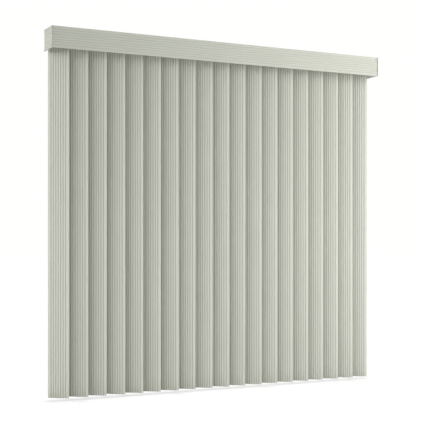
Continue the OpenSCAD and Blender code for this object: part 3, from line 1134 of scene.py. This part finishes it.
@dataclass
class Stem:
    """A stem: pivot, gear, shaft and collar, with a two-pronged hook below."""

    pivot_radius: float = 1.8 * MM
    pivot_top: float = -16.1 * MM
    gear_top: float = -17.7 * MM
    gear_bottom: float = -23.7 * MM
    gear_root: float = 3.8 * MM
    gear_tooth: float = 1.4 * MM
    gear_teeth: int = 12
    shaft_radius: float = 2.4 * MM
    collar_top: float = -40 * MM
    collar_radius: float = 4 * MM
    yoke_top: float = -42 * MM
    yoke_bottom: float = -46 * MM
    prong_bottom: float = -61 * MM
    hook_half: float = 5 * MM
    front: float = -3.6 * MM
    front_inner: float = -2.6 * MM
    back_inner: float = -0.4 * MM
    back: float = 0.6 * MM
    barb_half: float = 4 * MM
    barb_top: float = -54.15 * MM
    barb_bottom: float = -56.55 * MM
    barb_tip: float = -0.55 * MM
    prong_taper: float = 0.72
    edge_round: float = 0.18 * MM
    round_from: float = 50.0

    def build(self) -> Bench:
        """Models the stem round the Z axis.

        Returns:
            The bench with the stem on it.
        """
        stem = self._turned().combine(self._hook(), "UNION")
        return stem.round_edges(self.edge_round, self.round_from).merge_slivers().smooth()

    def _turned(self) -> Bench:
        """Models the turned part, from the pivot down to the collar.

        Returns:
            The bench with it.
        """
        sides = 2 * self.gear_teeth
        stem = Bench.drum("stem", self.pivot_radius, self.gear_top, self.pivot_top, sides)
        stem.faces(looks_down)
        foot = (self.yoke_top + self.yoke_bottom) / 2
        steps = (
            (self.pivot_radius, self.gear_root, self.gear_top, self.gear_bottom),
            (self.gear_root, self.shaft_radius, self.gear_bottom, self.collar_top),
            (self.shaft_radius, self.collar_radius, self.collar_top, foot),
        )
        for old, new, high, low in steps:
            stem.extrude((0.0, 0.0, 0.0)).resize((new / old, new / old, 1.0), (0.0, 0.0, high))
            stem.extrude((0.0, 0.0, low - high))
        step = 2 * math.pi / sides

        def tooth(middle: Vector, normal: Vector) -> bool:
            """Tells whether a face is the foot of a tooth."""
            on_gear = self.gear_bottom < middle.z < self.gear_top and stands(middle, normal)
            return on_gear and math.floor(math.atan2(middle.y, middle.x) / step) % 2 == 0

        stem.faces(tooth)
        bpy.ops.mesh.extrude_faces_move(TRANSFORM_OT_shrink_fatten={"value": self.gear_tooth})
        return stem

    def _hook(self) -> Bench:
        """Models the yoke with its prongs and barb.

        Returns:
            The bench with the hook.
        """
        half = self.hook_half
        hook = Bench.block("hook", (-half, self.front, self.yoke_bottom), (half, self.back, self.yoke_top))
        for y in (self.front_inner, self.back_inner):
            hook.slice((0.0, y, 0.0), (0.0, 1.0, 0.0))

        def prong(middle: Vector, normal: Vector) -> bool:
            """Tells whether a face is the foot of a prong."""
            return looks_down(middle, normal) and not self.front_inner < middle.y < self.back_inner

        hook.faces(prong).extrude((0.0, 0.0, self.prong_bottom - self.yoke_bottom))
        hook.resize((self.prong_taper, 1.0, 1.0), (0.0, 0.0, self.prong_bottom))
        for z in (self.barb_top, self.barb_bottom):
            hook.slice((0.0, 0.0, z), (0.0, 0.0, 1.0))
        for x in (-self.barb_half, self.barb_half):
            hook.slice((x, 0.0, 0.0), (1.0, 0.0, 0.0))

        def barb(middle: Vector, normal: Vector) -> bool:
            """Tells whether a face is the foot of the barb."""
            level = self.barb_bottom < middle.z < self.barb_top and abs(middle.x) < self.barb_half
            return level and normal.y > FACING and middle.y < self.back_inner

        hook.faces(barb).extrude((0.0, self.barb_tip - self.front_inner, 0.0))
        clear_selection()
        return hook


@dataclass
class VaneRow:
    """The ribbed vanes and the stems that they hang on."""

    count: int = 19
    pitch: float = 81 * MM
    width: float = 89 * MM
    wall: float = 0.9 * MM
    crown: float = 2 * MM
    top: float = -47 * MM
    bottom: float = -1490 * MM
    tilt: float = -36.0
    groove_depth: float = 1 * MM
    edge_round: float = 0.22 * MM
    round_from: float = 20.0
    smooth_to: float = 38.0
    rows: int = 24
    slot_half: float = 6 * MM
    slot_height: float = 4.4 * MM
    slot_top: float = -54 * MM
    punch_reach: float = 8 * MM
    punch_sides: int = 20
    twist: float = 0.9
    twist_waves: Point = (1.3, 0.7, 2.1)
    sway: float = 0.05
    sway_wave: Span = (2.4, 0.5)
    stem: Stem = field(default_factory=Stem)

    def build(self, finishes: Finishes) -> list[bpy.types.Object]:
        """Models one strip and one stem, and hangs a copy of each on every vane body.

        Args:
            finishes: The blind's finishes.

        Returns:
            The strips and stems.
        """
        strip = self._strip()
        stem = self.stem.build()
        dress(strip.piece, finishes.vane)
        dress(stem.piece, finishes.acetal)
        turn = Matrix.Rotation(math.radians(self.tilt), 4, "Z")
        made = []
        for number in range(1, self.count + 1):
            body = f"vane_{number:02d}"
            hang = Matrix.Translation((self.stem_x(number), 0.0, 0.0)) @ turn
            vane = strip.copy(f"vane_strip_{number:02d}", Matrix.Identity(4))
            self._relax(vane, number)
            vane.data.transform(hang)
            hook = stem.copy(f"vane_stem_{number:02d}", hang)
            for piece, slot in ((vane, Slot.RIBBED), (hook, Slot.ACETAL)):
                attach(piece, body)
            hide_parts(body)
            made += [vane, hook]
        strip.clear()
        stem.clear()
        return made

    def stem_x(self, number: int) -> float:
        """Returns the X of a vane's stem."""
        return (number - (self.count + 1) / 2) * self.pitch

    def _line(self) -> list[Span]:
        """Works out the bent and grooved line of a strip's section.

        Returns:
            Points of the line in X and Y, from its left edge to its right.
        """
        half = self.width / 2
        flat = [(-half, 0.0)]
        for k in range(GROOVE_COUNT):
            middle = (k - (GROOVE_COUNT - 1) / 2) * GROOVE_PITCH
            flat += [
                (middle - GROOVE_MOUTH / 2, 0.0),
                (middle - GROOVE_FLOOR / 2, self.groove_depth),
                (middle + GROOVE_FLOOR / 2, self.groove_depth),
                (middle + GROOVE_MOUTH / 2, 0.0),
            ]
        flat.append((half, 0.0))
        return [(x, y - self.crown * (1 - (x / half) ** 2)) for x, y in flat]

    def _strip(self) -> Bench:
        """Models one ribbed strip round the Z axis.

        Returns:
            The bench with the strip on it.
        """
        line = self._line()
        bench = Bench.sheet("strip", line[0][0], line[1][0], self.bottom, self.top)
        bench.edges(lambda a, b: abs(a.z - b.z) > NEAR).subdivide(self.rows - 1)
        for x, y in line[:2]:
            bench.edges(lambda a, b: abs(a.x - x) < NEAR and abs(b.x - x) < NEAR).move((0.0, y, 0.0))
        for (x0, y0), (x1, y1) in zip(line[1:], line[2:]):
            bench.extrude((x1 - x0, y1 - y0, 0.0))
        clear_selection()
        layer = bench.piece.data.uv_layers[0]
        layer.name = STRIP_MAP
        for loop in bench.piece.data.loops:
            spot = bench.piece.data.vertices[loop.vertex_index].co
            layer.data[loop.index].uv = (spot.x, spot.z)
        bench.modify("SOLIDIFY", thickness=self.wall, offset=0.0, use_even_offset=True)
        bench.round_edges(self.edge_round, self.round_from)
        return bench.combine(self._punch(), "DIFFERENCE").smooth(self.smooth_to)

    def _punch(self) -> Bench:
        """Models the punch for the slot at the top of a strip.

        Returns:
            The bench with the punch on it.
        """
        radius = self.slot_height / 2
        clear_selection()
        bpy.ops.mesh.primitive_cylinder_add(
            vertices=self.punch_sides,
            radius=radius,
            depth=2 * self.punch_reach,
            location=(0.0, 0.0, self.slot_top - radius),
            rotation=(math.pi / 2, 0.0, math.pi / self.punch_sides),
        )
        punch = Bench("punch")
        slide = self.slot_half - radius
        for sign in (-1, 1):
            punch.faces(lambda middle, _: middle.x * sign > NEAR and abs(middle.y) < self.punch_reach / 2)
            punch.move((sign * slide, 0.0, 0.0))
        return punch

    def _relax(self, vane: bpy.types.Object, number: int) -> None:
        """Lets a strip hang with a slight twist and sway of its own.

        Args:
            vane: The strip, still round the Z axis.
            number: Its place in the row.
        """
        pick(vane)
        modifier = vane.modifiers.new("twist", "SIMPLE_DEFORM")
        modifier.deform_method = "TWIST"
        modifier.deform_axis = "Z"
        step, swing, beat = self.twist_waves
        wave = math.sin(step * number + swing * math.sin(beat * number))
        modifier.angle = math.radians(self.twist * wave)
        bpy.ops.object.modifier_apply(modifier=modifier.name)
        step, start = self.sway_wave
        lean = math.radians(self.sway * math.sin(step * number + start))
        hook = Matrix.Translation((0.0, 0.0, self.top))
        vane.data.transform(hook @ Matrix.Rotation(lean, 4, "Y") @ hook.inverted())


@dataclass
class TiltRod:
    """Fluted rod that turns the stems, with a round journal at each end."""

    radius: float = 3 * MM
    half_length: float = 773.6 * MM
    axis: Point = (0.0, 10 * MM, -20.7 * MM)
    flutes: int = 8
    facets: int = 6
    flute_depth: float = 0.5 * MM
    flute_floor: Span = (0.3, 0.7)
    journal: float = 3 * MM
    run_out: float = 0.5 * MM
    edge_round: float = 0.4 * MM

    def build(self, finishes: Finishes) -> list[bpy.types.Object]:
        """Models the rod and lays it through the carriers.

        Args:
            finishes: The blind's finishes.

        Returns:
            The rod, in a list of its own.
        """
        rod = self._rod()
        dress(rod.piece, finishes.rod)
        lie = Matrix.Translation(self.axis) @ Matrix.Rotation(math.pi / 2, 4, "Y")
        piece = rod.copy("fluted_tilt_rod", lie)
        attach(piece, "tilt_shaft")
        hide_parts("tilt_rod")
        rod.clear()
        return [piece]

    def _rod(self) -> Bench:
        """Models the rod on the Z axis.

        Returns:
            The bench with the rod.
        """
        fluted = self.half_length - self.journal
        pitch = 2 * math.pi / self.flutes
        rod = Bench.drum("rod", self.radius, -self.half_length, self.half_length, self.flutes * self.facets)
        for z in (fluted, fluted + self.run_out):
            for end in (-1, 1):
                rod.slice((0.0, 0.0, end * z), (0.0, 0.0, 1.0))

        def floor(a: Vector, b: Vector) -> bool:
            """Tells whether an edge runs along the floor of a flute."""
            turn = math.atan2(a.y, a.x) % pitch / pitch
            return abs(a.z - b.z) > fluted and self.flute_floor[0] < turn < self.flute_floor[1]

        shrink = 1 - self.flute_depth / self.radius
        rod.edges(floor).resize((shrink, shrink, 1.0), (0.0, 0.0, 0.0))
        rod.faces(lambda middle, normal: abs(normal.z) > FACING).round_off(self.edge_round, EDGE_STEPS)
        return rod.merge_slivers().smooth()


@dataclass
class CapScrews:
    """Pan-head screws that hold the end caps, with a cross recess in each head."""

    places: Span = (-17.8 * MM, 17.8 * MM)
    height: float = -8.7 * MM
    seat: float = 776 * MM
    head_radius: float = 3 * MM
    head_height: float = 1.8 * MM
    head_round: float = 0.8 * MM
    head_steps: int = 4
    sides: int = 28
    shank_radius: float = 1.5 * MM
    shank: float = 28 * MM
    tip: float = 2 * MM
    tip_taper: float = 0.3
    recess_half: float = 1.7 * MM
    recess_wall: float = 0.42 * MM
    recess_depth: float = 1.15 * MM
    recess_taper: float = 0.45
    overcut: float = 1 * MM

    def build(self, finishes: Finishes) -> list[bpy.types.Object]:
        """Models one screw and puts a copy of it in each port.

        Args:
            finishes: The blind's finishes.

        Returns:
            The screws.
        """
        screw = self._screw()
        dress(screw.piece, finishes.screw)
        made = []
        for side, end in (("left", -1), ("right", 1)):
            turn = Matrix.Rotation(end * math.pi / 2, 4, "Y")
            for row, y in zip(("front", "rear"), self.places):
                place = Matrix.Translation((end * self.seat, y, self.height)) @ turn
                piece = screw.copy(f"cap_screw_{side}_{row}", place)
                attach(piece, "headrail_assembly")
                made.append(piece)
        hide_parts("end_cap_screws")
        screw.clear()
        return made

    def _screw(self) -> Bench:
        """Models one screw on the Z axis, with the seat of its head at the origin.

        Returns:
            The bench with the screw.
        """
        screw = Bench.drum("screw", self.head_radius, 0.0, self.head_height, self.sides)
        screw.faces(looks_up).round_off(self.head_round, self.head_steps)
        screw.faces(looks_down)
        shrink = self.shank_radius / self.head_radius
        screw.extrude((0.0, 0.0, 0.0)).resize((shrink, shrink, 1.0), (0.0, 0.0, 0.0))
        screw.extrude((0.0, 0.0, self.tip - self.shank)).extrude((0.0, 0.0, -self.tip))
        screw.resize((self.tip_taper, self.tip_taper, 1.0), (0.0, 0.0, -self.shank))
        return screw.combine(self._recess(), "DIFFERENCE").smooth()

    def _recess(self) -> Bench:
        """Models the tapered cross that is sunk in a head.

        Returns:
            The bench with the cross.
        """
        wall, taper = self.recess_wall, self.recess_taper
        foot = self.head_height - self.recess_depth
        cross = Bench.block("cross", (-wall, -wall, foot), (wall, wall, self.head_height + self.overcut))
        cross.faces(stands)
        bpy.ops.mesh.extrude_faces_move(TRANSFORM_OT_shrink_fatten={"value": self.recess_half - wall})
        cross.faces(looks_down).resize((taper, taper, 1.0), (0.0, 0.0, foot))
        clear_selection()
        return cross


@dataclass
class Fittings:
    """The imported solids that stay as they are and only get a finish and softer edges."""

    nodes: dict[str, bpy.types.Object]

    def dress(self, finishes: Finishes) -> list[str]:
        """Gives each solid its finish.

        Args:
            finishes: The blind's finishes.

        Returns:
            Names of the solids.
        """
        pulleys = ("cord_pulley_front", "cord_pulley_rear", "return_pulley")
        carriers = sorted(name for name in self.nodes if name.startswith("carrier_"))
        sides = ("left", "right")
        plan: list[tuple[bpy.types.Material, float, Iterable[str]]] = [
            (finishes.enamel, 0.25 * MM, ("headrail",)),
            (finishes.cap, 0.4 * MM, ("control_end_cap", "idle_end_cap")),
            (finishes.acetal, 0.0, ("chain_sprocket", *pulleys)),
            (finishes.zinc, 0.2 * MM, ("bracket_left", "bracket_centre", "bracket_right")),
            (finishes.clip, 0.2 * MM, ("valance_clips",)),
            (finishes.channel, 0.35 * MM, ("valance_front_channel",)),
            (finishes.return_channel, 0.35 * MM, [f"valance_return_channel_{side}" for side in sides]),
            (finishes.front, 0.2 * MM, ("valance_front_insert",)),
            (finishes.side, 0.2 * MM, [f"valance_return_insert_{side}" for side in sides]),
            (finishes.corner, 0.25 * MM, [f"valance_corner_{side}" for side in sides]),
            (finishes.carrier, 0.0, carriers),
        ]
        done = []
        for material, rounding, names in plan:
            for name in names:
                dress(self.nodes[name], material)
                soften(self.nodes[name], rounding)
                done.append(name)
        return done


def main() -> None:
    """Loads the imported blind, models its new pieces and dresses every piece."""
    logging.basicConfig(level=logging.INFO, format="%(name)s: %(message)s")
    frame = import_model()
    clear_selection()
    insert_low, insert_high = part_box("valance_front_insert")
    Studio().build()
    row = VaneRow()
    finishes = Finishes((insert_low.z + insert_high.z) / 2, row.pitch)
    for assembly in (row, TiltRod(), CapScrews()):
        for piece in assembly.build(finishes):
            log.info("modelled %s, %d faces", piece.name, len(piece.data.polygons))
    for name in Fittings(frame["nodes"]).dress(finishes):
        log.info("dressed %s", name)


if __name__ == "__main__":
    main()
